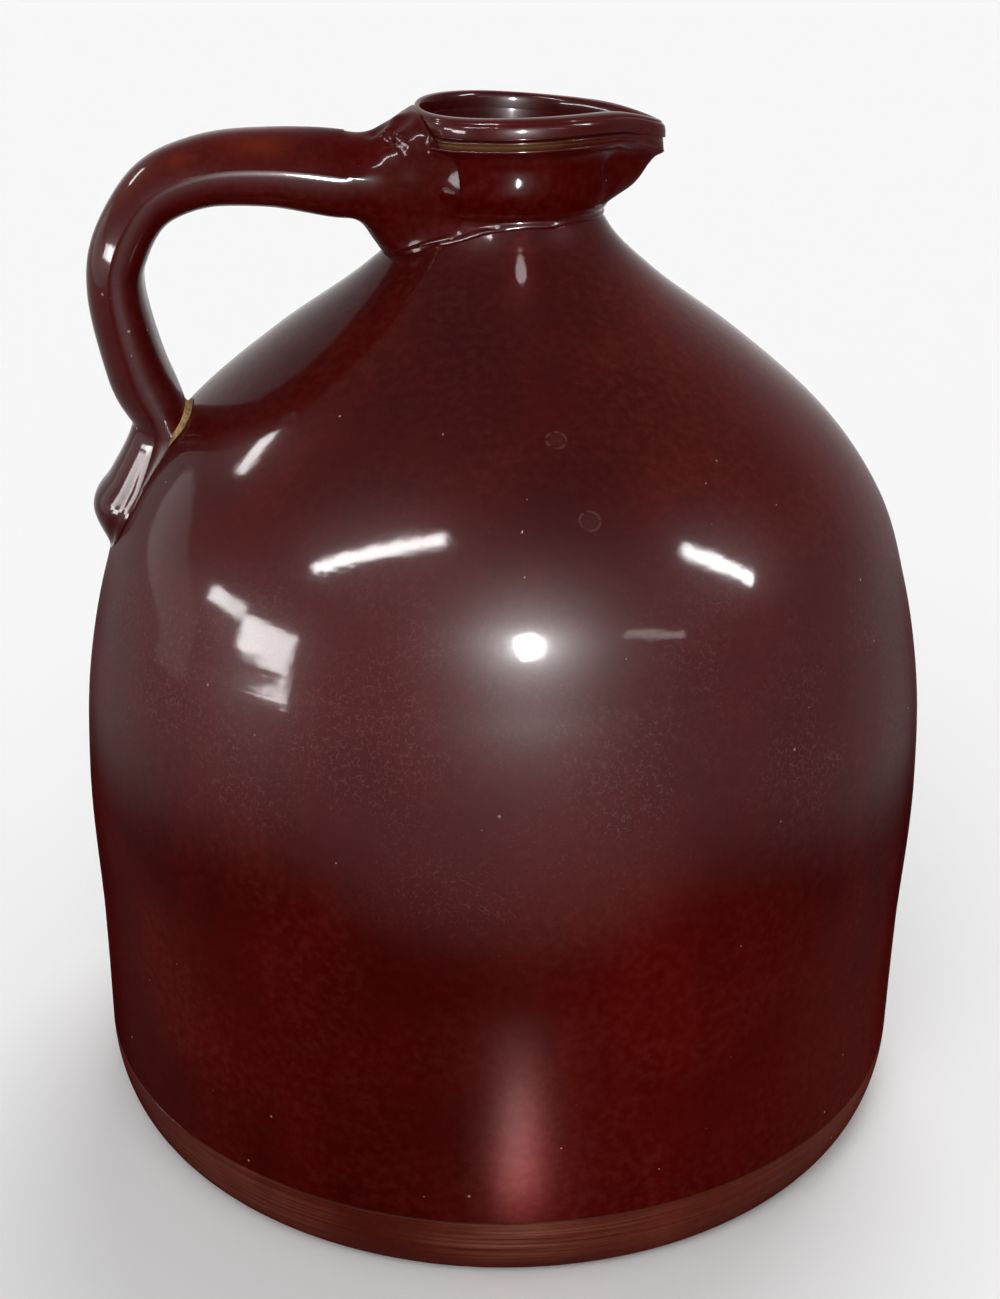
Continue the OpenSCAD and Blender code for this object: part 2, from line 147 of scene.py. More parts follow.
def bell(x, centre, width):
    """A bell of height 1 at centre, down to 1/e one width away."""
    return np.exp(-((x - centre) / width) ** 2)


def round_about(outline, steps=288):
    """Turns an outline of (radius, z) about the axis, with the body's unevenness."""
    angle = np.linspace(0, 2 * np.pi, steps, endpoint=False)[None, :]
    r, z = outline[:, 0:1], outline[:, 1:2]
    r = r + np.where(r > 1, uneven(angle, z), 0)
    return np.stack([r * np.cos(angle), r * np.sin(angle), z + 0 * angle], -1)


def rows(low, high, step):
    """Heights from low to high, with one very thin row at each end.

    The thin rows make the glaze turn the same way on both sides of a joint.
    """
    middle = np.linspace(low, high, max(3, int(abs(high - low) / step)))
    lift = 0.03 * np.sign(high - low)
    return np.concatenate([[low, low + lift], middle[1:-1], [high - lift, high]])


def inside_radius(z):
    """One wall in from the outer surface, square to it."""
    slope = (body_radius(z + 0.5) - body_radius(z - 0.5))
    return body_radius(z) - WALL * np.sqrt(1 + slope ** 2)


def pairs(radii, heights):
    """Stacks radii and heights as the two columns of an outline."""
    return np.stack(np.broadcast_arrays(np.asarray(radii, float), np.asarray(heights, float)), -1)


print("widest radius", round(float(body_radius(np.linspace(17, 208, 400)).max()), 2), "mm")

# %% [markdown]
# The foot is the disc that the potter opened first, with the band that was trimmed at its edge.
# The band is left drier and paler than the wall, and a fine groove parts them. Its outline is a
# quarter of an ellipse, so the pot seems to lift off the table.

# %% The foot
foot_r = float(body_radius(FOOT_H))
u = np.linspace(0, 1, 24)
foot_z = (FOOT_H - GROOVE) * (1 - np.cos(u * np.pi / 2))
foot_edge = foot_r - FOOT_IN * (1 - np.sqrt(1 - ((FOOT_H - foot_z) / FOOT_H) ** 2))
floor_turn = np.linspace(0, np.pi / 2, 12)
fillet_r = float(inside_radius(FOOT_H)) - FLOOR_FILLET
groove_r = foot_r - GROOVE - 0.25
foot_outline = np.concatenate([
    pairs([0.5, 30, 60, 85], 0.0),
    pairs(foot_edge, foot_z),
    pairs([groove_r, foot_r - WALL / 2, foot_r - WALL / 2], [FOOT_H, FOOT_H, FOOT_H + JOINT]),
    pairs([inside_radius(FOOT_H + JOINT)], [FOOT_H + JOINT]),
    pairs(fillet_r + FLOOR_FILLET * np.cos(floor_turn), FLOOR_T + FLOOR_FILLET * (1 - np.sin(floor_turn))),
    pairs([60, 30, 0.5], FLOOR_T),
])
print("foot band from radius", round(float(foot_edge[0]), 1), "to", round(float(foot_edge[-1]), 1), "mm")
foot = piece_from_rings("foot_base_clay", round_about(foot_outline), "foot_base")

# %% [markdown]
# The lower wall and the shoulder were thrown in two sections and joined at the belly. Under the
# glaze the joint can't be seen, so the two skins share one formula and meet edge to edge, and
# only the solids inside keep the step of the joint.

# %% The lower wall and the shoulder
wall_z = rows(FOOT_H + 0.35, BELLY_Z, 1.6)
wall_outline = np.concatenate([
    pairs([groove_r], [FOOT_H]),
    pairs(body_radius(wall_z), wall_z),
    pairs([body_radius(BELLY_Z) - WALL / 2] * 2, [BELLY_Z, BELLY_Z + JOINT]),
    pairs(inside_radius(np.linspace(BELLY_Z + JOINT, FOOT_H + JOINT, 30)),
          np.linspace(BELLY_Z + JOINT, FOOT_H + JOINT, 30)),
    pairs([foot_r - WALL / 2] * 2, [FOOT_H + JOINT, FOOT_H]),
])
wall = piece_from_rings("lower_wall_clay", round_about(wall_outline), "lower_wall",
                        closed=True)

dome_z = rows(BELLY_Z, SEAT_Z, 1.0)
under_z = np.linspace(SEAT_Z - SEAT_DEPTH, BELLY_Z + JOINT, 50)
dome_outline = np.concatenate([
    pairs(body_radius(dome_z), dome_z),
    pairs([NECK_IN_R + 0.1] * 2, [SEAT_Z, SEAT_Z - SEAT_DEPTH]),
    pairs(np.maximum(inside_radius(under_z), NECK_IN_R + 0.2), under_z),
    pairs([body_radius(BELLY_Z) - WALL / 2] * 2, [BELLY_Z + JOINT, BELLY_Z]),
])
dome = piece_from_rings("shoulder_clay", round_about(dome_outline), "shoulder_dome",
                        closed=True)

# %% [markdown]
# The collar was thrown as a small cup, set on the neck and pulled out at one side. A point of
# it starts on a round outline, is pushed out and drawn down towards the lip by a bell of the
# angle, and leans with the rim. The collar and the rolled rim both pass through that one
# formula, so they stay flush; at its foot, where the neck holds it, the collar is still round.

# %% How the rim is pulled into shape
COLLAR_R, COLLAR_H, ROLL_T, ROLL_UP = 25.1, 15.6, 3.2, 0.5
RIM_LEAN, LIP_REACH, LIP_DROP, RIM_WARP = 1.1, 6.8, 3.3, 0.5
LIP_ANGLE, LIP_SPREAD = np.radians(4), np.radians(18)
PULL_H = COLLAR_H * 0.85
ROLL_R = COLLAR_R - ROLL_T + 0.15
ROLL_Z = COLLAR_Z + COLLAR_H + ROLL_UP
CROWN_Z = ROLL_Z + ROLL_T
HANDLE_ANGLE = np.radians(187)


def turned(angle, about):
    """The angle measured from another one, between -pi and pi."""
    return (angle - about + np.pi) % (2 * np.pi) - np.pi


def lip_pull(angle):
    """A bell round the lip, sharper than a plain one."""
    return np.exp(-(np.abs(turned(angle, LIP_ANGLE)) / LIP_SPREAD) ** 1.6)


def pulled(r, z, angle):
    """Out by reach x sin(90 degrees x growth) x bell, and down by drop x growth x bell.

    A soft crease stands at each side of the lip, a dent at the front left, and at the handle
    the potter's thumb pressed the rim in a little.
    """
    grown = np.clip((z - COLLAR_Z) / PULL_H, 0, 1)
    ridge_z = COLLAR_Z + PULL_H
    kept = 1 - 0.2 * np.clip((z - ridge_z) / (CROWN_Z - ridge_z), 0, 1)
    bell_here = lip_pull(angle)
    out = r + LIP_REACH * np.sin(grown * np.pi / 2) * bell_here
    side = np.abs(turned(angle, LIP_ANGLE))
    crease = 0.9 * bell(side, np.radians(33), np.radians(6)) * bell(z, COLLAR_Z + 7, 5)
    dent = 0.5 * bell(turned(angle, np.radians(248)), 0, 0.16) * bell(z, COLLAR_Z + 6.5, 2.6)
    pressed = 1.3 * grown ** 2 * bell(turned(angle, HANDLE_ANGLE), 0, 0.7)
    out = out - np.where(r > 19.5, crease + dent, 0) - pressed
    high = z - LIP_DROP * grown * kept * bell_here - RIM_WARP * grown * np.sin(2 * angle)
    return np.stack([RIM_LEAN * grown + out * np.cos(angle), out * np.sin(angle), high], -1)


def smooth_through(points, count):
    """A Catmull-Rom curve through the points, with count steps from each point to the next."""
    p = np.asarray(points, float)
    last = len(p) - 1
    u = np.linspace(0, last, last * count + 1)
    i = np.minimum(u.astype(int), last - 1)
    t = (u - i)[:, None]
    a, b, c, d = (p[np.clip(i + k, 0, last)] for k in (-1, 0, 1, 2))
    return (2 * b + (c - a) * t + (2 * a - 5 * b + 4 * c - d) * t ** 2
            + (3 * b - a - 3 * c + d) * t ** 3) / 2


print("rim crown at", round(CROWN_Z, 2), "mm")

# %% [markdown]
# The collar swells, draws in under a ridge, and ends in a shallow recess with a fine bead under
# the rolled rim. In the recess the glaze ran off and shows an olive brown, so those points are
# marked as thin for the glaze.

# %% The neck and the collar
neck_z = rows(SEAT_Z, BODY_H, 0.6)
neck_curve = smooth_through([[body_radius(BODY_H), BODY_H], [20.15, 209.2], [20.9, 210.2],
                             [21.31, COLLAR_Z]], 6)
neck_outline = np.concatenate([
    pairs(body_radius(neck_z), neck_z),
    neck_curve[1:],
    pairs([THROAT_R] * 2, [COLLAR_Z, SEAT_Z - SEAT_DEPTH]),
    pairs([NECK_IN_R] * 2, [SEAT_Z - SEAT_DEPTH, SEAT_Z]),
])
neck = piece_from_rings("neck_clay", round_about(neck_outline), "neck_ring", closed=True)

collar_knots = np.array([[0.849, 0], [0.9, 0.115], [0.924, 0.23], [0.922, 0.35], [0.911, 0.487],
                         [0.909, 0.6], [0.932, 0.73], [0.982, 0.797], [0.998, 0.825], [0.9965, 0.850],
                         [0.962, 0.893], [0.980, 0.925], [0.9785, 0.948], [0.958, 0.985], [0.97, 1.01]])
collar_curve = smooth_through(collar_knots * [COLLAR_R, COLLAR_H] + [0, COLLAR_Z], 5)
funnel_curve = smooth_through([[20.05, COLLAR_Z + COLLAR_H + 0.2], [19.4, 222], [17.7, 218], [14.8, 214.1],
                               [THROAT_R, COLLAR_Z]], 6)
collar_outline = np.concatenate([collar_curve, funnel_curve])
angles = np.linspace(0, 2 * np.pi, 432, endpoint=False)[None, :]
# Along the lip the recess is smeared shut, up to one straight slope.
open_r, open_z = collar_outline[:, 0:1], collar_outline[:, 1:2]
on_outside = open_r > 22
slope = np.interp(open_z, COLLAR_Z + np.array([12.6, 13.0, 15.9]), COLLAR_R * np.array([0, 0.996, 0.985]))
shut_r = np.where(on_outside, np.maximum(slope, open_r), open_r)
collar_r = open_r + (shut_r - open_r) * lip_pull(angles) ** 0.6
collar_rings = pulled(collar_r, open_z, angles)
recess = bell(collar_outline[:, 1], COLLAR_Z + 14.0, 0.75) * on_outside[:, 0]
shown = (0.35 + 0.65 * bell(turned(angles, np.radians(258)), 0, 0.5)) * (1 - 0.8 * lip_pull(angles))
collar = piece_from_rings("collar_clay", collar_rings, "collar", closed=True,
                          marks=recess[:, None] * shown)

# %% [markdown]
# The rolled rim is a coil folded over the edge of the collar. Its section is round outside, flat
# on top and steep inside, with a flat foot, and a finger has left a faint groove round it.

# %% The rolled rim
# Outer half: x = cos^0.85, z = sin^0.7. Inner half: x = 0.62 cos^0.5, z = sin^0.5. Both are
# squeezed thin at the handle.
roll_foot = -math.asin(0.42 / ROLL_T)
section = np.linspace(roll_foot, np.pi - roll_foot, 61)[:, None]
inside = section > np.pi / 2
cos_s, sin_s = np.abs(np.cos(section)), np.sin(section)
roll_out = np.where(inside, -0.62 * cos_s ** 0.5, cos_s ** 0.85)
roll_up = np.where(sin_s < 0, sin_s, np.abs(sin_s) ** np.where(inside, 0.5, 0.7))
roll_depth = ROLL_T * (0.98 + 0.02 * np.sin(3 * angles + 1)) - 0.16 * bell(section, np.radians(40), 0.13)
squeezed = 1 - 0.72 * bell(turned(angles, HANDLE_ANGLE), 0, 0.62)
roll_rings = pulled(ROLL_R + roll_depth * roll_out * squeezed, ROLL_Z + roll_depth * roll_up, angles)
roll_marks = 0.25 * bell(section, roll_foot, 0.25) + 0 * angles
roll = piece_from_rings("rim_roll_clay", roll_rings, "rim_roll", closed=True, marks=roll_marks)

# %% [markdown]
# Where the neck was set on the shoulder the potter pressed a thin coil of soft clay round the
# joint and smeared it with a finger. It is a low ridge, steeper below than above, which dips
# under the handle and gets lower towards the lip. At the front left one length is folded over
# the other, so the ridge is drawn as two folds that pass each other.

# %% The luting coil
skin_curve = np.concatenate([neck_curve, collar_curve[1:]])


def neck_skin(z):
    """The outer radius of the shoulder, the neck or the collar at height z."""
    return np.where(z < BODY_H, body_radius(z), np.interp(z, skin_curve[:, 1], skin_curve[:, 0]))


COIL_HALF, STEEP, GENTLE = 2.4, 0.55, 1.5
coil_angles = np.linspace(0, 2 * np.pi, 720, endpoint=False)[:, None]
near_side = np.degrees(turned(coil_angles, HANDLE_ANGLE))
coil_middle = 209.1 - 9.2 * bell(near_side, 0, 52) + 0.2 * np.sin(7 * coil_angles + 0.4) \
    + 0.1 * np.sin(13 * coil_angles)
across = np.linspace(-1, 1, 33)[None, :]


def fold(middle):
    """A ridge of height 1 at middle mm from the coil's line, steep below it and gentle above."""
    off = COIL_HALF * across - middle
    share = np.clip(np.where(off < 0, -off / STEEP, off / GENTLE), 0, 1)
    return np.cos(share * np.pi / 2) ** 2


first = fold(0.35) * smooth_step(near_side, 56, 47)
second = fold(-0.5) * smooth_step(near_side, 41, 46) + fold(-0.5) * (near_side < -60)
coil_high = 0.95 + 0.15 * np.sin(5 * coil_angles + 1) + 0.1 * np.sin(11 * coil_angles + 2)
coil_high = coil_high * (1 - 0.62 * bell(turned(coil_angles, 0.1), 0, 1.5)) + 1.3 * bell(near_side, 25, 13)
crest = np.clip(np.maximum(first, second), 0, 1)
coil_z = coil_middle + COIL_HALF * across
coil_out = neck_skin(coil_z) + coil_high * crest - 0.05
coil_in = neck_skin(coil_z[:, ::-1]) - 0.8
coil_r = np.concatenate([coil_out, coil_in[:, 1:-1]], 1)
coil_z = np.concatenate([coil_z, coil_z[:, ::-1][:, 1:-1]], 1)
coil_rings = np.stack([coil_r * np.cos(coil_angles), coil_r * np.sin(coil_angles), coil_z], -1)
coil = piece_from_rings("luting_coil_clay", coil_rings, "neck_coil", closed=True, sharp=60)

# %% [markdown]
# The handle is a pulled strap: thick and wide at the collar, thinner over the bend, with an
# arched outer face, a squarer inner face and a crease between them. Its section is carried
# along a smooth path in the handle's own upright plane, which is turned a little to the front.

# %% The strap
STRAP_W, STRAP_T, STRAP_LOW, STRAP_BED, STRAP_BOW = 24.0, 17.4, 161.0, 4.8, 7.0
strap_shares = np.array([[0, 0.975, 1], [0.31, 1.004, 0.935], [0.60, 0.991, 0.84], [0.828, 0.905, 0.765],
                         [0.972, 0.722, 0.72], [1.006, 0.537, 0.71], [0.938, 0.246, 0.78],
                         [0.858, 0.08, 0.71], [0.852, 0, 0.77]])
STRAP_TOP = CROWN_Z - 12.5
ROOT_R = COLLAR_R + 10.6
strap_end = float(body_radius(STRAP_LOW)) + STRAP_T * strap_shares[-1, 2] / 2 - STRAP_BED
strap_knots = np.stack([ROOT_R + strap_shares[:, 0] * (strap_end + STRAP_BOW - ROOT_R),
                        STRAP_LOW + strap_shares[:, 1] * (STRAP_TOP - STRAP_LOW),
                        strap_shares[:, 2] * STRAP_T], 1)
out_way = np.array([math.cos(HANDLE_ANGLE), math.sin(HANDLE_ANGLE), 0])
across_way = np.array([-math.sin(HANDLE_ANGLE), math.cos(HANDLE_ANGLE), 0])
AROUND, PATH_STEPS = 96, 16
turn = np.linspace(0, 2 * np.pi, AROUND, endpoint=False)[None, :]
cosine, sine = np.cos(turn), np.sin(turn)


def in_plane(out, side, z):
    """A point given by its distance from the axis in the handle's plane, across it, and up."""
    return out[..., None] * out_way + side[..., None] * across_way + z[..., None] * np.array([0, 0, 1.0])


def strap_section(thick):
    """Outer half: an arch 1 - |c|^2.2. Inner half: a squarer curve, |s|^(2/3) by |c|^(2/3)."""
    ridge = 0.05 * thick
    half = STRAP_W / 2
    side = np.where(sine >= 0, half * cosine, half * np.sign(cosine) * np.abs(cosine) ** (2 / 3))
    rise = np.where(sine >= 0, ridge + (thick / 2 - ridge) * (1 - np.abs(cosine) ** 2.2),
                    ridge - (thick / 2 + ridge) * np.abs(np.minimum(sine, 0)) ** (2 / 3))
    return side, rise


def off_the_body(points, gap):
    """A point less than gap outside the shoulder is pushed out to there, level with itself."""
    x, y, z = (points[..., k] for k in range(3))
    r = np.hypot(x, y)
    need = body_radius(z) + uneven(np.arctan2(y, x), z) + gap
    grow = np.where((r < need) & (z < 190), need / np.maximum(r, 1), 1)
    return points * np.stack([grow, grow, np.ones_like(grow)], -1)


path = smooth_through(strap_knots, PATH_STEPS)
way = np.gradient(path[:, :2], axis=0)
way /= np.linalg.norm(way, axis=1, keepdims=True)
way[0], way[-1] = [1, 0], [0, -1]
along = np.linspace(0, 1, len(path))[:, None]
hand = 1 + 0.012 * np.sin(along * 23 + 1) + 0.01 * np.sin(along * 41)
side, rise = strap_section(path[:, 2:3] * hand)
rise = rise - 0.35 * bell(turn, np.pi / 2, 0.35) * smooth_step(along, 0.05, 0.2)
rise = rise - 2.8 * smooth_step(along, 0.88, 1.0) * np.clip(-sine, 0, 1) ** 0.3
strap_free = in_plane(path[:, 0:1] - way[:, 1:2] * rise, side + 0 * rise, path[:, 1:2] + way[:, 0:1] * rise)
strap_rings = off_the_body(strap_free, -0.1)
strap_marks = 0.25 * bell(turn, 0.9, 0.5) * smooth_step(along, 0.02, 0.12) * smooth_step(along, 0.6, 0.4) \
    + 0.30 * bell(turn, 0.8, 0.35) * (bell(along, 0.14, 0.05) + 0.8 * bell(along, 0.285, 0.03))

# %% [markdown]
# At the collar the strap ends in a wad of clay that was pressed on and smoothed with a wet
# finger. Each line of the skin is a cubic curve: it leaves the strap straight, and arrives
# lying on the collar, so there is no hard edge. A few lumps are left near the rim.

# %% The root of the handle
ROOT_LOW, ROOT_HIGH, ROOT_W = SEAT_Z - 4.2, CROWN_Z - 0.8, 30.0
BED_Z = COLLAR_Z + 13.1


def bed_radius(z):
    """The neck, then the collar without its recess, then the round of the rim."""
    smooth = np.interp(z, [BED_Z, ROLL_Z], [COLLAR_R, ROLL_R + ROLL_T])
    top = ROLL_R + np.sqrt(np.maximum(ROLL_T ** 2 - (z - ROLL_Z) ** 2, 0))
    return np.where(z > ROLL_Z, top, np.where(z > BED_Z, smooth, neck_skin(z)))


def footprint(share, lift, wide=0.0):
    """A rounded square on the collar, drawn in to a share of its size.

    wide widens its lower half on the front side, where the clay was smeared further round the
    neck. Its upper half has squarer corners.
    """
    smear = wide * bell(turned(turn, np.radians(340)), 0, 0.85)
    square = np.where(sine > 0, 0.8 - 0.42 * np.clip(sine * 3, 0, 1), 0.8)
    side = share * (ROOT_W / 2 * np.sign(cosine) * np.abs(cosine) ** square + smear)
    tall = np.where(sine >= 0, ROOT_HIGH - STRAP_TOP, STRAP_TOP - ROOT_LOW)
    z = STRAP_TOP + share * tall * np.sign(sine) * np.abs(sine) ** np.where(sine > 0, 0.65, 0.8)
    angle = HANDLE_ANGLE + np.arcsin(np.clip(side / COLLAR_R, -0.95, 0.95))
    grown = np.clip((z - COLLAR_Z) / PULL_H, 0, 1)
    r = bed_radius(z) + lift - 3.0 * np.clip((z - 221) / 6, 0, 1) * bell(turned(angle, HANDLE_ANGLE), 0, 0.6)
    return np.stack([RIM_LEAN * grown + r * np.cos(angle), r * np.sin(angle), z], -1)


def cubic(p, q, r, s, t):
    """The cubic curve that leaves p towards q and arrives at s from r."""
    return p * (1 - t) ** 3 + 3 * q * t * (1 - t) ** 2 + 3 * r * t ** 2 * (1 - t) + s * t ** 3


start = strap_rings[0:1]
below, over = np.minimum(sine, 0) ** 2, np.maximum(sine, 0) ** 2
flare = 0.85 - 0.05 * below - 0.30 * over
stand = (0.5 + 7.0 * below + 0.6 * over ** 2)[..., None] * out_way + 6.3 * over[..., None] ** 2 * [0, 0, 1.0]
leave = (4.8 + 3.4 * over)[..., None] * out_way + 2.6 * over[..., None] * [0, 0, 1.0]
t = np.linspace(0, 1, 33)[:, None, None]
sweep = cubic(start, start - leave, footprint(flare, 0.30, 4.0) + stand, footprint(1.0, 0.0, 6.5), t)
rounded = sweep
for _ in range(40):
    rounded = (np.roll(rounded, 1, axis=1) + 2 * rounded + np.roll(rounded, -1, axis=1)) / 4
share = smooth_step(t, 0.02, 0.4) * smooth_step(t, 1.0, 0.8) * (1 - 0.85 * below - 0.6 * over)[..., None]
sweep = sweep * (1 - share) + rounded * share
skin_way = 1.3 * np.array([-0.75, -0.55, 0.35])
# Each lump: x, y, z, its width and its height, in mm; a height below 0 is a hollow.
lumps = [(-24.0, -5.5, 228.6, 2.2, 0.55), (-25.5, -9.0, 226.0, 1.5, 0.8), (-27.8, -3.0, 227.6, 2.4, 0.6),
         (-22.5, -12.6, 225.0, 1.4, 0.7), (-29.5, -8.5, 220.5, 1.6, 0.8), (-25.0, -12.2, 221.0, 1.6, 0.8),
         (-25.3, -11.0, 223.4, 1.3, -0.9), (-29.0, -6.5, 223.8, 1.6, -0.8), (-27.5, -8.0, 222.6, 1.2, 0.6),
         (-30.5, -10.5, 216.5, 2.6, -0.4), (-22.0, -15.0, 217.5, 3.0, 0.3),
         (-21.3, -14.8, 226.6, 3.2, 1.5), (-19.8, -16.4, 223.6, 2.2, 0.8), (-24.6, -7.6, 229.6, 2.4, 0.8)]
for x, y, z, size, high in lumps:
    near = np.exp(-((sweep - np.array([x, y, z])) ** 2).sum(-1) / size ** 2)[..., None]
    sweep = sweep + near * high * skin_way * smooth_step(t, 0.0, 0.2) * smooth_step(t, 1.0, 0.85)
closing = np.concatenate([footprint(s, -0.6, 6.5) for s in (0.97, 0.8, 0.6, 0.4, 0.2, 0.05)])
root_marks = np.concatenate([strap_marks[0] * (1 - t[:, :, 0]), np.zeros((len(closing), AROUND))])
root = piece_from_rings("handle_root_clay", np.concatenate([sweep, closing]), "handle_root",
                        sharp=60, marks=root_marks)

# %% [markdown]
# Below, the strap lies on the shoulder and ends in a pad that was dragged down with the thumb.
# Each level slice follows the shoulder on its inner side; its outer side is an arch whose
# height and width come from a smooth curve through a few measured slices. Strap and pad are one
# pull of clay, so they are smoothed across their joint as one skin before each is made.

# %% The thumbed pad
# Each measured slice: how far down, height, half width and edge, the first three as shares.
PAD_LEN, PAD_W, PAD_T = 25.5, 32.0, 8.6
pad_curve = smooth_through([[0, 1, 0.77, 2.6], [0.18, 0.83, 0.84, 1.3], [0.37, 0.78, 0.93, 0.7],
                            [0.53, 0.85, 1, 0.5], [0.65, 0.75, 0.98, 0.4], [0.78, 0.47, 0.88, 0.3],
                            [0.90, 0.17, 0.66, 0.15], [1, 0.02, 0.3, 0.02]], 5)
pad_z = STRAP_LOW - pad_curve[:, 0:1] * PAD_LEN
pad_half = pad_curve[:, 2:3] * PAD_W / 2
pad_top = pad_curve[:, 1:2] * PAD_T
pad_edge = np.minimum(pad_curve[:, 3:4], pad_top * 0.5)
pad_side = pad_half * np.where(sine >= 0, cosine, np.sign(cosine) * np.abs(cosine) ** (2 / 3))
arch = pad_edge + (pad_top - pad_edge) * (1 - np.abs(cosine) ** 2.5)
drag = 0.45 * bell(cosine, 0.86, 0.07) * smooth_step(pad_curve[:, 0:1], 0.12, 0.35) \
    + 0.4 * bell(cosine, -0.8, 0.08) * smooth_step(pad_curve[:, 0:1], 0.1, 0.35)
high = np.where(sine >= 0, arch - np.minimum(drag, arch * 0.5), -0.1)
pad_angle = HANDLE_ANGLE + np.arcsin(pad_side / body_radius(pad_z))
pad_r = body_radius(pad_z) + uneven(pad_angle, pad_z) + high
pad_rings = np.stack([pad_r * np.cos(pad_angle), pad_r * np.sin(pad_angle), pad_z + 0 * pad_angle], -1)
fall = STRAP_LOW - pad_z
pad_rings = pad_rings + (strap_rings[-1:] - pad_rings[0:1]) * (1 - smooth_step(fall, 0, 9))[..., None]
whole = np.concatenate([strap_rings, pad_rings[1:]])
seam = len(strap_rings) - 1
# Each pass evens out the eight rings before the joint and the ten from it on.
for _ in range(36):
    softened = whole[seam - 9:seam + 11]
    softened = (softened[:-2] + 2 * softened[1:-1] + softened[2:]) / 4
    whole[seam - 8:seam + 10] = softened


def thin_row(a, b):
    """A ring just off a towards b, so that the glaze turns the same way on both sides."""
    return (a + (b - a) * 0.03)[None]


strap_done = np.concatenate([whole[:seam], thin_row(whole[seam], whole[seam - 1]), whole[seam:seam + 1]])
marks_done = np.concatenate([strap_marks[:seam], strap_marks[seam:seam + 1], strap_marks[seam:seam + 1]])
strap = piece_from_rings("strap_clay", strap_done, "handle_strap", marks=marks_done, sharp=50)
pad_done = np.concatenate([whole[seam:seam + 1], thin_row(whole[seam], whole[seam + 1]), whole[seam + 1:]])
pad = piece_from_rings("handle_pad_clay", pad_done, "handle_foot", sharp=50)

# %% [markdown]
# In the crack between the strap and the shoulder the glaze never ran, and a sliver of bare tan
# clay shows. For each line along the strap's inner face the two places are found where it
# stands one width and another off the shoulder, and the wedge fills the space between them.

# %% The bare clay in the crack
# The lines of the inner face, without those at its two edges, from the bend down.
inner = np.arange(AROUND // 2 + 6, AROUND - 5)
face = strap_free[5 * PATH_STEPS:, inner]
clear = np.hypot(face[..., 0], face[..., 1]) - body_radius(face[..., 2])


def where_clear(width):
    """For each line of the face, the point at which its clearance falls to the width."""
    n = (clear > width).sum(axis=0)
    n = np.clip(n, 1, len(clear) - 1)
    lines = np.arange(len(inner))
    a, b = clear[n - 1, lines], clear[n, lines]
    share = np.clip((a - width) / (a - b), 0, 1)[:, None]
    return face[n - 1, lines] * (1 - share) + face[n, lines] * share


def to_radius(points, radius):
    """Moves points along the level line to the axis until they have the radius."""
    grow = radius / np.hypot(points[:, 0], points[:, 1])
    return points * np.stack([grow, grow, np.ones_like(grow)], -1)


crack_low, crack_high = where_clear(0.1), where_clear(1.5)
low_r, high_r = (np.hypot(p[:, 0], p[:, 1]) for p in (crack_low, crack_high))
crack_rings = np.stack([to_radius(crack_low, body_radius(crack_low[:, 2]) - 0.1),
                        to_radius(crack_high, body_radius(crack_high[:, 2]) - 0.1),
                        to_radius(crack_high, high_r - 0.6 * (high_r - body_radius(crack_high[:, 2]))),
                        to_radius(crack_high, high_r), to_radius(crack_low, low_r)], 1)
crack_rings[:, 2, 2] -= 0.8
# The crack ends at the front in a point, further down.
end = crack_rings[-1]
point = end.mean(axis=0) + np.array([-1.9, -1.8, -2.3])
point[:2] *= (body_radius(point[2]) + 0.5) / np.hypot(point[0], point[1])
tips = [end * (1 - k) + point * k for k in (0.35, 0.7, 0.97)]
crack_rings = np.concatenate([crack_rings, tips])
print("crack from", np.round(crack_rings[0].mean(axis=0), 1), "to", np.round(point, 1))
crack = piece_from_rings("crack_clay", crack_rings, "crotch_fillet")

# %% [markdown]
# Glaze is glass over clay: a coloured layer with a clear, smooth skin. The main gloss is sharp,
# and a faint broad coat over it gives a lamp its soft halo. Colours are mixed with expressions:
# a socket is wrapped in a small class, and arithmetic on it adds nodes.

# %% A small language for shaders
class Value:
    """A socket that carries a number; + - * ** on it add Math nodes."""

    def __init__(self, paint, socket):
        self.paint, self.socket = paint, socket

    def math(self, operation, *values):
        made = self.paint.node("ShaderNodeMath", {"operation": operation}, dict(enumerate(values)))
        return made.out("Value")

    def __add__(self, other):
        return self.math("ADD", self, other)

    def __radd__(self, other):
        return self.math("ADD", other, self)

    def __sub__(self, other):
        return self.math("SUBTRACT", self, other)

    def __rsub__(self, other):
        return self.math("SUBTRACT", other, self)

    def __mul__(self, other):
        return self.math("MULTIPLY", self, other)

    def __pow__(self, other):
        return self.math("POWER", self, other)

    def ramp(self, low, high):
        """0 at low, 1 at high, with soft ends between them."""
        settings = {"interpolation_type": "SMOOTHSTEP"}
        return self.paint.node("ShaderNodeMapRange", settings, {0: self, 1: low, 2: high}).out("Result")


class Made:
    """A node that was added; out() wraps one of its outputs."""

    def __init__(self, paint, node):
        self.paint, self.node = paint, node

    def out(self, name):
        return Value(self.paint, self.node.outputs[name])


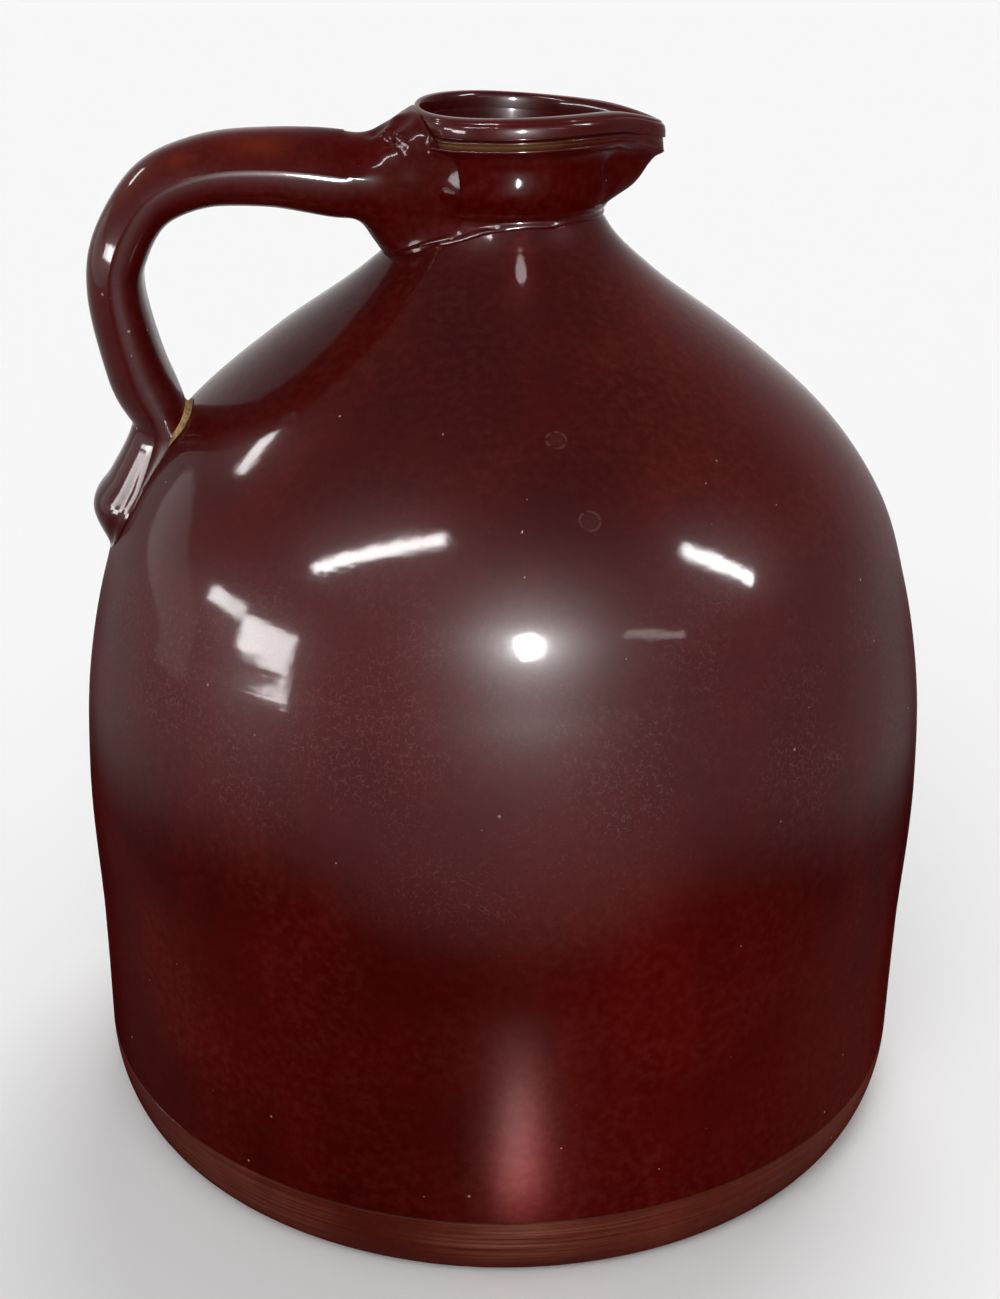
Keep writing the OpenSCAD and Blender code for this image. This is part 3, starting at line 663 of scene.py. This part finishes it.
class Paint:
    """The node tree of one material."""

    def __init__(self, name):
        self.material = bpy.data.materials.new(name)
        self.material.use_nodes = True
        self.tree = self.material.node_tree
        self.tree.nodes.clear()

    def node(self, kind, settings=None, sockets=None):
        """Adds a node: its settings first, then the values or links of its sockets."""
        node = self.tree.nodes.new(kind)
        for key, value in (settings or {}).items():
            setattr(node, key, value)
        for key, value in (sockets or {}).items():
            if isinstance(value, Value):
                self.tree.links.new(value.socket, node.inputs[key])
            else:
                node.inputs[key].default_value = value
        return Made(self, node)

    def mix(self, share, first, second):
        """A colour between two colours."""
        made = self.node("ShaderNodeMix", {"data_type": "RGBA"}, {0: share, 6: first, 7: second})
        return Value(self, made.node.outputs[2])

    def noise(self, place, scale, detail=3.0, rough=0.5):
        """Smooth noise of a given number of waves to the metre."""
        return self.node("ShaderNodeTexNoise", {}, {"Vector": place, "Scale": scale, "Detail": detail,
                                                    "Roughness": rough}).out("Fac")

    def wander(self, place, scale, reach):
        """A small random vector, which bends a pattern."""
        noise = self.node("ShaderNodeTexNoise", {}, {"Vector": place, "Scale": scale}).out("Color")
        centred = self.node("ShaderNodeVectorMath", {"operation": "SUBTRACT"}, {0: noise, 1: (0.5, 0.5, 0.5)})
        return self.node("ShaderNodeVectorMath", {"operation": "SCALE"},
                         {0: centred.out("Vector"), "Scale": reach}).out("Vector")

    def stretched(self, place, x, y, z):
        """The place, squeezed or stretched along each direction."""
        return self.node("ShaderNodeMapping", {}, {"Vector": place, "Scale": (x, y, z)}).out("Vector")


def srgb(r, g, b):
    """A colour as it looks on the screen, 0 to 255, as the light that the shader wants."""
    c = np.array([r, g, b]) / 255
    lin = np.where(c < 0.04045, c / 12.92, ((c + 0.055) / 1.055) ** 2.4)
    return (*lin.tolist(), 1.0)


print("a red of 80 on the screen is a light of", round(srgb(80, 0, 0)[0], 4))

# %% [markdown]
# The glaze is a dark oxblood brown that pooled a little darker here and burnt a little redder
# there. It runs redder towards the foot, thins to amber on sharp edges, and carries pinholes,
# pale specks and a scuffed patch of fine lines across the belly, under a greyish wash of
# painted sheen. Faint throwing lines and a slight orange peel bend its reflections.

# %% The glaze
DEEP, WARM = srgb(52, 0, 0), srgb(80, 6, 2)
# The third colour on the next line is painted sheen, a greyish wash for the belly's soft reflection.
GRAIN, SPECK, SHEEN_PAINT = srgb(116, 52, 46), srgb(196, 168, 144), srgb(92, 50, 52)
DUST, OLD_MARK = srgb(176, 140, 140), srgb(170, 130, 120)
# Two faint round marks on the shoulder: x, y, z and radius, in metres.
ROUND_MARKS = ((0.0095, -0.0593, 0.1751, 0.0019), (0.0159, -0.0717, 0.1630, 0.0020))
# Pale specks: their scale, the share of cells without one, and how strong they are.
SPECKS = ((190.0, 0.58, 0.5), (420.0, 0.76, 0.35))


def glaze(name, edge, deep=DEEP, warm=WARM, gloss=0.085, lines=0.14, sheen_and_scuffs=True,
          fade=(0.096, 0.071, 0.15, 0.84), rim_fade=0.94, neck_fade=0.0, satin=0.0, scraped=0.0):
    """A glaze over stoneware, with its colour for thin, thick and warm places.

    The share of the dull shader goes from the third number of fade to the fourth between its
    first two heights, and rises by rim_fade where the surface is seen from the side, and by
    neck_fade close to the neck. satin is added to the roughness of the lower wall. scraped is
    the share of patchy level streaks left by a trimming tool.
    """
    p = Paint(name)
    place = p.node("ShaderNodeTexCoord").out("Object")
    split = p.node("ShaderNodeSeparateXYZ", {}, {0: place})
    height, sideways = split.out("Z"), split.out("X")
    thin = p.node("ShaderNodeAttribute", {"attribute_name": "thin"}).out("Fac")
    cloud = p.noise(place, 14, 4, 0.6).ramp(0.35, 0.68)
    streak = p.noise(p.stretched(place, 60, 60, 9), 1, 3).ramp(0.45, 0.8)
    colour = p.mix(cloud * 0.5 + streak * 0.25, deep, warm)
    grain = p.noise(place, 520, 3, 0.6).ramp(0.35, 0.75) * p.noise(place, 30, 2).ramp(0.2, 0.7)
    colour = p.mix(grain * 0.13, colour, GRAIN)
    if scraped:
        trimmed = p.noise(p.stretched(place, 25, 25, 1500), 1, 4, 0.6).ramp(0.3, 0.8)
        patchy = p.noise(place, 17, 3).ramp(0.3, 0.7) * sideways.ramp(0.085, 0.0) * height.ramp(0.0, 0.010)
        colour = p.mix(trimmed * patchy * scraped, colour, edge)
    colour = p.mix((thin + (p.noise(place, 90) - 0.5) * 0.5).ramp(0.15, 0.9) * 0.9, colour, edge)
    pits = []
    for size, share, tone in SPECKS:
        pores = p.node("ShaderNodeTexVoronoi", {}, {"Vector": place, "Scale": size})
        luck = p.node("ShaderNodeSeparateColor", {}, {0: pores.out("Color")})
        spot = (pores.out("Distance") * (size / 13) - luck.out("Red") * 0.6).ramp(0.5, 0.1)
        pits.append(spot * luck.out("Green").ramp(share, share + 0.04) * tone)
    specks = pits[0] + pits[1]
    colour = p.mix(specks, colour, SPECK)
    # level is the height, bent so that the belt of painted sheen hangs lower in the middle and at the right.
    level = height
    # This adds a belt of painted sheen across the belly, with real scuffs in it: a net of fine lines, dust
    # and two round marks.
    if sheen_and_scuffs:
        level = height - (sideways * sideways).ramp(0.0, 0.0019) * 0.011 + sideways * 0.02
        sheen_and_scuff_belt = level.ramp(0.078, 0.106) * height.ramp(0.165, 0.135)
        # The greyish wash over this belt is painted sheen, the soft reflection of a bright room on the belly.
        painted_sheen = sheen_and_scuff_belt * (0.7 + p.noise(place, 22, 3) * 0.3)
        colour = p.mix(painted_sheen * 0.36, colour, SHEEN_PAINT)
        bent = p.node("ShaderNodeVectorMath", {"operation": "ADD"},
                      {0: place, 1: p.wander(place, 900, 0.0012)})
        cells = p.node("ShaderNodeTexVoronoi", {"feature": "DISTANCE_TO_EDGE"},
                       {"Vector": bent.out("Vector"), "Scale": 760.0}).out("Distance")
        broken = p.noise(place, 900, 2).ramp(0.42, 0.62)
        net = cells.ramp(0.10, 0.0) * broken * sheen_and_scuff_belt * p.noise(place, 40, 3).ramp(0.35, 0.7)
        dust = p.noise(place, 1500, 2).ramp(0.58, 0.75) * sheen_and_scuff_belt * p.noise(place, 55, 2).ramp(0.35, 0.65)
        colour = p.mix(net * 0.10 + dust * 0.05, colour, DUST)
        for x, y, z, size in ROUND_MARKS:
            away = p.node("ShaderNodeVectorMath", {"operation": "DISTANCE"}, {0: place, 1: (x, y, z)})
            away = away.out("Value")
            off = away - size
            ring = (off * off * 1e7).ramp(1.4, 0.0) * 0.09 * p.noise(place, 900, 2).ramp(0.3, 0.6) \
                + away.ramp(size, 0.6 * size) * 0.02
            colour = p.mix(ring, colour, OLD_MARK)
    turning = p.noise(p.stretched(place, 3, 3, 900), 1, 2)
    peel = p.noise(place, 240, 2)
    swell = p.noise(p.stretched(place, 16, 16, 30), 1, 2)
    relief = turning * (0.05 * lines) + peel * 0.028 + swell * 0.35 - specks * 0.1
    bump = p.node("ShaderNodeBump", {}, {"Strength": 1.0, "Distance": 0.0012, "Height": relief}).out("Normal")
    polish = gloss + level.ramp(0.082, 0.064) * satin if satin else gloss
    glassy = p.node("ShaderNodeBsdfPrincipled", {}, {
        "Base Color": colour, "Roughness": polish, "IOR": 1.1, "Normal": bump,
        "Coat Weight": 1.0, "Coat Roughness": 0.39, "Coat IOR": 1.055})
    dull = p.node("ShaderNodeBsdfPrincipled", {}, {
        "Base Color": colour, "Roughness": 0.5, "IOR": 1.5, "Specular IOR Level": 0.0, "Normal": bump})
    facing = p.node("ShaderNodeLayerWeight").out("Facing")
    low, high, least, most = fade
    rest = least + level.ramp(low, high) * (most - least)
    if neck_fade:
        out_from_axis = (sideways * sideways + split.out("Y") * split.out("Y")) ** 0.5
        rest = rest + out_from_axis.ramp(0.046, 0.034) * neck_fade
    shade = 1 - (1 - facing.ramp(0.5, 0.9) * rim_fade * height.ramp(0.19, 0.12)) * (1 - rest) \
        if rim_fade else rest
    both = p.node("ShaderNodeMixShader", {}, {0: shade, 1: glassy.out("BSDF"), 2: dull.out("BSDF")})
    p.node("ShaderNodeOutputMaterial", {}, {"Surface": both.out("Shader")})
    return p.material


body_glaze = glaze("oxblood_glaze", srgb(104, 40, 20), satin=0.2)
rim_glaze = glaze("rim_glaze", srgb(90, 64, 34), sheen_and_scuffs=False, lines=0.03,
                  fade=(0.2235, 0.2205, 0.15, 0.9), rim_fade=0.0)
handle_glaze = glaze("handle_glaze", srgb(116, 42, 8), sheen_and_scuffs=False, lines=0.0,
                     fade=(0.23, 0.22, 0.1, 0.25), rim_fade=0.0, neck_fade=0.4)
foot_glaze = glaze("foot_glaze", srgb(152, 102, 80), srgb(66, 14, 6), srgb(94, 32, 18), gloss=0.2,
                   lines=0.8, sheen_and_scuffs=False, fade=(0.02, 0.0, 0.5, 0.8), scraped=0.6)
print("glazes:", ", ".join(m.name for m in (body_glaze, rim_glaze, handle_glaze, foot_glaze)))

# %% [markdown]
# The clay in the crack is bare: matte, tan and sandy.

# %% The bare clay
p = Paint("bare_clay")
place = p.node("ShaderNodeTexCoord").out("Object")
sand = p.noise(place, 700, 4, 0.7)
tan = p.mix(sand.ramp(0.3, 0.7), srgb(110, 84, 56), srgb(178, 146, 106))
grit = p.node("ShaderNodeBump", {}, {"Strength": 0.6, "Distance": 0.0004, "Height": sand}).out("Normal")
clay = p.node("ShaderNodeBsdfPrincipled", {}, {"Base Color": tan, "Roughness": 0.9, "Specular IOR Level": 0.0,
                                                   "Normal": grit})
p.node("ShaderNodeOutputMaterial", {}, {"Surface": clay.out("BSDF")})
bare_clay = p.material
print("bare clay nodes:", len(p.tree.nodes))

finishes = {foot: foot_glaze, wall: body_glaze, dome: body_glaze, neck: body_glaze, coil: body_glaze,
            collar: rim_glaze, roll: rim_glaze, root: handle_glaze, strap: handle_glaze,
            pad: handle_glaze, crack: bare_clay}
for made, finish in finishes.items():
    made.data.materials.append(finish)

# %% [markdown]
# The jug stands on a plain pale floor under soft studio lamps. One small bright lamp beside
# the camera stands for the flash, and long panels overhead give the strips of light on the
# shoulders. Two panels at the left give the bright patch on the belly, four ellipses inside one
# another give the soft glow beside it, and three glints are kept to one piece each. All these
# light only the gloss, so the colours stay as they are written, and the glaze itself reflects
# the white room only faintly.

# %% The floor
floor_mesh = bpy.data.meshes.new("floor")
floor_mesh.from_pydata([(-9, -9, 0), (9, -9, 0), (9, 9, 0), (-9, 9, 0)], [], [(0, 1, 2, 3)])
floor = bpy.data.objects.new("floor", floor_mesh)
bpy.context.collection.objects.link(floor)
floor.location.z = -0.00005
p = Paint("pale_floor")
plain = p.node("ShaderNodeBsdfDiffuse", {}, {"Color": (0.86, 0.86, 0.86, 1)})
p.node("ShaderNodeOutputMaterial", {}, {"Surface": plain.out("BSDF")})
floor_mesh.materials.append(p.material)
print("floor width", floor.dimensions.x, "m")

# %% The lamps and the world
world = bpy.data.worlds.new("studio")
bpy.context.scene.world = world
world.use_nodes = True
sky = world.node_tree
sky.nodes.clear()
rays = sky.nodes.new("ShaderNodeLightPath")
seen = sky.nodes.new("ShaderNodeMath")
seen.operation = "MAXIMUM"
seen_too = sky.nodes.new("ShaderNodeMath")
seen_too.operation = "MAXIMUM"
sky.links.new(rays.outputs["Is Camera Ray"], seen.inputs[0])
sky.links.new(rays.outputs["Is Glossy Ray"], seen.inputs[1])
sky.links.new(seen.outputs[0], seen_too.inputs[0])
sky.links.new(rays.outputs["Is Transmission Ray"], seen_too.inputs[1])
level = sky.nodes.new("ShaderNodeMapRange")
level.inputs["To Min"].default_value = 0.5
level.inputs["To Max"].default_value = 0.93
sky.links.new(seen_too.outputs[0], level.inputs["Value"])
light = sky.nodes.new("ShaderNodeBackground")
sky.links.new(level.outputs["Result"], light.inputs["Strength"])
light.inputs["Color"].default_value = (1, 1, 1, 1)
out = sky.nodes.new("ShaderNodeOutputWorld")
sky.links.new(light.outputs[0], out.inputs["Surface"])


def lamp(name, place, aim, size, radiance, shape="RECTANGLE", gloss_only=False, along=None):
    """An area lamp at a place, in metres, facing aim; its power is radiance x area x pi.

    along is the way of its first size; without it, that is level.
    """
    data = bpy.data.lights.new(name, "AREA")
    data.shape = shape
    data.size, data.size_y = size
    area = size[0] * size[1] * (1 if shape == "RECTANGLE" else math.pi / 4)
    data.energy = radiance * area * math.pi
    made = bpy.data.objects.new(name, data)
    bpy.context.collection.objects.link(made)
    back = np.array(place, float) - np.array(aim, float)
    back /= np.linalg.norm(back)
    side = np.cross([0, 0, 1.0], back) if along is None else np.array(along, float)
    side -= back * side.dot(back)
    side /= np.linalg.norm(side)
    up = np.cross(back, side)
    turn_to = np.eye(4)
    turn_to[:3, 0], turn_to[:3, 1], turn_to[:3, 2], turn_to[:3, 3] = side, up, back, place
    made.matrix_world = Matrix(turn_to.tolist())
    made.visible_diffuse = not gloss_only
    made.visible_camera = False
    return made


def only_on(made, piece):
    """Shades a lamp from every piece but one, as a card on a stand would."""
    lit = bpy.data.collections.new(made.name + "_lit")
    lit.objects.link(piece)
    made.light_linking.receiver_collection = lit


def sun(name, place, strength, spread):
    """A far, soft lamp that shines from a place to the jug and shows in no reflection."""
    data = bpy.data.lights.new(name, "SUN")
    data.energy, data.angle = strength, math.radians(spread)
    made = bpy.data.objects.new(name, data)
    bpy.context.collection.objects.link(made)
    made.rotation_euler = Vector(place).to_track_quat("Z", "Y").to_euler()
    made.visible_glossy = False


sun("key", (0.25, 0.8, 1.15), 1.3, 35)
sun("fill", (-0.2, -1.0, 0.9), 1.2, 50)
lamp("flash", (0.041, -0.403, 0.281), (0, 0, 0.13), (0.032, 0.066), 14800, "ELLIPSE", gloss_only=True)
lamp("strip_left", (-0.62, -0.55, 1.01), (-0.02, -0.075, 0.156), (0.72, 0.075), 520, gloss_only=True,
     along=(0.633, -0.158, 0.344))
lamp("strip_right", (0.976, -0.317, 0.83), (0.04, -0.07, 0.154), (0.44, 0.085), 520, gloss_only=True,
     along=(0.286, 0.174, -0.321))
lamp("window_high", (-1.20, -0.20, 0.385), (-0.05, -0.07, 0.138), (0.29, 0.13), 190, gloss_only=True)
lamp("window", (-1.10, -0.52, 0.272), (-0.05, -0.07, 0.138), (0.36, 0.227), 270, gloss_only=True)
for size in (1.0, 0.8, 0.6, 0.4):
    lamp("glow_left", (-1.11, 0.342, 0.25), (-0.066, -0.053, 0.147), (0.90 * size, 0.38 * size), 2.5,
         "ELLIPSE", gloss_only=True, along=(0.304, 0.706, 0.374))
lamp("behind_left", (-0.895, 0.459, 0.846), (-0.05, 0, 0.17), (0.25, 0.08), 120, gloss_only=True,
     along=(0.159, 0.112, 0.118))
lamp("faint_right", (0.775, -0.89, 0.58), (0.04, -0.08, 0.13), (0.36, 0.07), 60, gloss_only=True,
     along=(0.307, 0.206, -0.127))
lamp("neck_glint", (0.00385, -0.0275, 0.212), (0.0025, -0.0262, 0.2), (0.0034, 0.003), 90, "ELLIPSE",
     gloss_only=True, along=(1, 0, 0))
for piece, name, place, aim, size, radiance in (
        (pad, "pad_glint", (-1.19, -0.14, 0.585), (-0.08, -0.022, 0.155), (0.42, 0.30), 130),
        (strap, "bend_glint", (-1.27, -0.07, 0.385), (-0.08, -0.022, 0.205), (0.26, 0.13), 150),
        (coil, "coil_glint", (-0.607, -0.177, 0.993), (-0.012, -0.018, 0.205), (0.55, 0.36), 110)):
    only_on(lamp(name, place, aim, size, radiance, gloss_only=True), piece)
lamp("bounce", (0.008, -0.131, 0.006), (0.003, -0.098, 0.032), (0.013, 0.028), 300, "ELLIPSE",
     gloss_only=True)

print("lamps:", len(bpy.data.lights))

# %% [markdown]
# The camera stands where the photographer stood: straight in front, 40 cm from the jug's axis,
# looking down by 23.5 degrees and turned by under one degree.

# %% The camera
SENSOR_MM, LENS_MM = 36.0, 51.265
CAMERA_DOWN, CAMERA_TURN = 23.547, 0.7
CAMERA_PLACE = [-0.00086, -0.403, 0.2806]
lens_data = bpy.data.cameras.new("photo_camera")
lens_data.sensor_width = SENSOR_MM
lens_data.lens = LENS_MM
camera = bpy.data.objects.new("photo_camera", lens_data)
bpy.context.collection.objects.link(camera)
tilt, roll_turn = math.radians(90 - CAMERA_DOWN), math.radians(CAMERA_TURN)
about_x = np.array([[1, 0, 0], [0, math.cos(tilt), -math.sin(tilt)], [0, math.sin(tilt), math.cos(tilt)]])
about_z = np.array([[math.cos(roll_turn), -math.sin(roll_turn), 0],
                    [math.sin(roll_turn), math.cos(roll_turn), 0], [0, 0, 1]])
pose = np.eye(4)
pose[:3, :3] = about_x @ about_z
pose[:3, 3] = CAMERA_PLACE
camera.matrix_world = Matrix(pose.tolist())
lens_data.clip_start = 0.01
bpy.context.scene.camera = camera
bpy.context.scene.view_settings.view_transform = "Standard"
print("camera at", [round(v, 3) for v in camera.matrix_world.translation], "lens", lens_data.lens)
